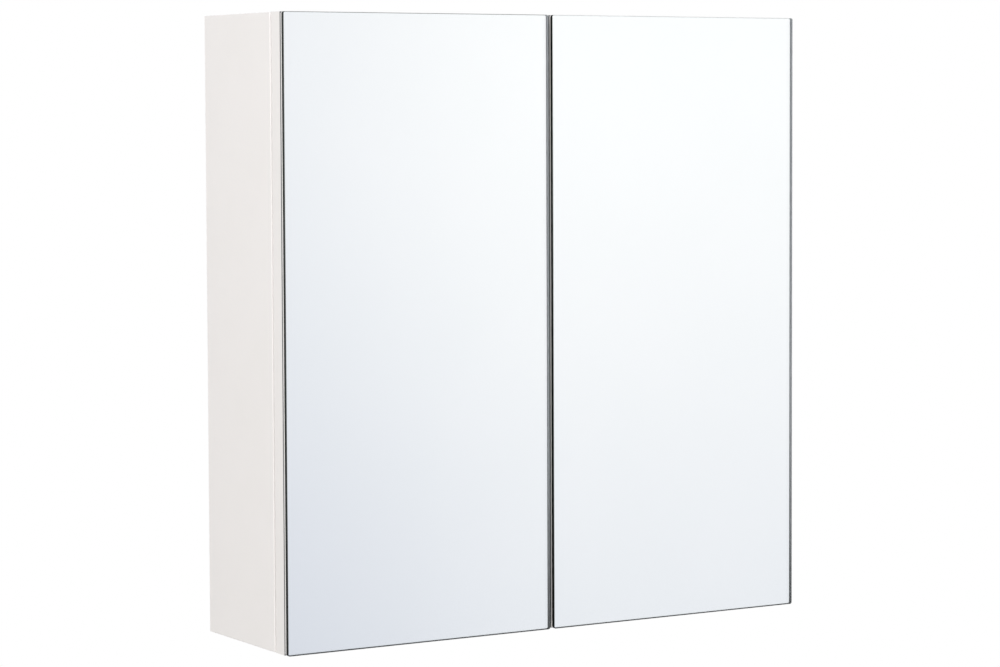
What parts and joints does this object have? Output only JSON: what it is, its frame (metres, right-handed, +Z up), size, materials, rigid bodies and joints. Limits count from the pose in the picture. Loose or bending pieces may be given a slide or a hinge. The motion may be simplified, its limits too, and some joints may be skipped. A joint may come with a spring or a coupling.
{
  "type": "bathroom mirror cabinet",
  "caption": "Wall-hung bathroom cabinet in white board with frameless mirror doors on concealed hinges, push latches and adjustable shelves inside.",
  "frame": {"origin": "on the wall plane, midway between the two wall-screw holes in the upper hanging rail", "axes": "+Z up, +Y into the wall, -Y out of the mirrors towards the user, +X to the right of someone facing the mirrors"},
  "size_m": [0.58, 0.168, 0.6],
  "materials": {
    "white_board": "white melamine-faced particle board with edge bands, satin",
    "white_door_board": "white lacquered MDF, satin",
    "white_hardboard": "thin white-faced hardboard, satin front",
    "mirror_glass": "float glass silvered on the back, with ground edges",
    "white_backing": "white rigid PVC sheet bonded to the back of the mirror",
    "foam_tape": "white acrylic foam mounting tape",
    "clear_silicone": "translucent silicone bumper",
    "nickel_steel": "nickel-plated steel, satin",
    "zinc_steel": "zinc-plated steel",
    "zinc_casting": "bare zinc die casting",
    "spring_steel": "drawn spring wire",
    "black_magnet": "sintered ferrite magnet, dark grey",
    "latch_plastic": "moulded white acetal, fine spark texture",
    "white_cap_plastic": "moulded white polypropylene",
    "beech": "fluted beech dowel, unfinished"
  },
  "bodies": {
    "carcass": {"back_panel": "white_hardboard", "bottom_panel": "white_board", "cam_bolts": "zinc_steel", "cam_covers": "white_cap_plastic", "cam_locks": "zinc_casting", "dowels": "beech", "hinge_adjusting_screws": "zinc_steel", "hinge_fixing_screws": "zinc_steel", "hinge_plate_screws": "zinc_steel", "latch_screws": "zinc_steel", "left_latch_housing": "latch_plastic", "left_latch_spring": "spring_steel", "left_lower_hinge_arm": "nickel_steel", "left_lower_hinge_plate": "nickel_steel", "left_side_panel": "white_board", "left_upper_hinge_arm": "nickel_steel", "left_upper_hinge_plate": "nickel_steel", "lower_rail": "white_board", "lower_shelf": "white_board", "right_latch_housing": "latch_plastic", "right_latch_spring": "spring_steel", "right_lower_hinge_arm": "nickel_steel", "right_lower_hinge_plate": "nickel_steel", "right_side_panel": "white_board", "right_upper_hinge_arm": "nickel_steel", "right_upper_hinge_plate": "nickel_steel", "shelf_pins": "nickel_steel", "top_panel": "white_board", "upper_hanging_rail": "white_board", "upper_shelf": "white_board"},
    "left_door": {"left_door_backing": "white_backing", "left_door_board": "white_door_board", "left_door_bumpers": "clear_silicone", "left_door_mirror": "mirror_glass", "left_door_strike": "zinc_steel", "left_door_tape": "foam_tape", "left_hinge_cup_screws": "zinc_steel", "left_lower_hinge_cup": "nickel_steel", "left_lower_hinge_pin": "nickel_steel", "left_upper_hinge_cup": "nickel_steel", "left_upper_hinge_pin": "nickel_steel"},
    "right_door": {"right_door_backing": "white_backing", "right_door_board": "white_door_board", "right_door_bumpers": "clear_silicone", "right_door_mirror": "mirror_glass", "right_door_strike": "zinc_steel", "right_door_tape": "foam_tape", "right_hinge_cup_screws": "zinc_steel", "right_lower_hinge_cup": "nickel_steel", "right_lower_hinge_pin": "nickel_steel", "right_upper_hinge_cup": "nickel_steel", "right_upper_hinge_pin": "nickel_steel"},
    "left_plunger": {"left_latch_magnet": "black_magnet", "left_latch_plunger": "latch_plastic"},
    "right_plunger": {"right_latch_magnet": "black_magnet", "right_latch_plunger": "latch_plastic"}
  },
  "joints": [
    {"name": "left_door_hinge", "type": "hinge", "parent": "carcass", "child": "left_door", "pos_m": [-0.28241, -0.15245, 0], "axis": [0, 0, -1], "range_deg": [0, 95]},
    {"name": "left_plunger_slide", "type": "slide", "parent": "carcass", "child": "left_plunger", "axis": [0, -1, 0], "range_m": [0, 0.012], "deforming": ["left_latch_spring"]},
    {"name": "right_door_hinge", "type": "hinge", "parent": "carcass", "child": "right_door", "pos_m": [0.28241, -0.15245, 0], "axis": [0, 0, 1], "range_deg": [0, 95]},
    {"name": "right_plunger_slide", "type": "slide", "parent": "carcass", "child": "right_plunger", "axis": [0, -1, 0], "range_m": [0, 0.012], "deforming": ["right_latch_spring"]}
  ],
  "couplings": [
    {"joint": "left_plunger_slide", "follows": "left_door_hinge", "m_per_rad": 0.0072},
    {"joint": "right_plunger_slide", "follows": "right_door_hinge", "m_per_rad": 0.0072}
  ]
}
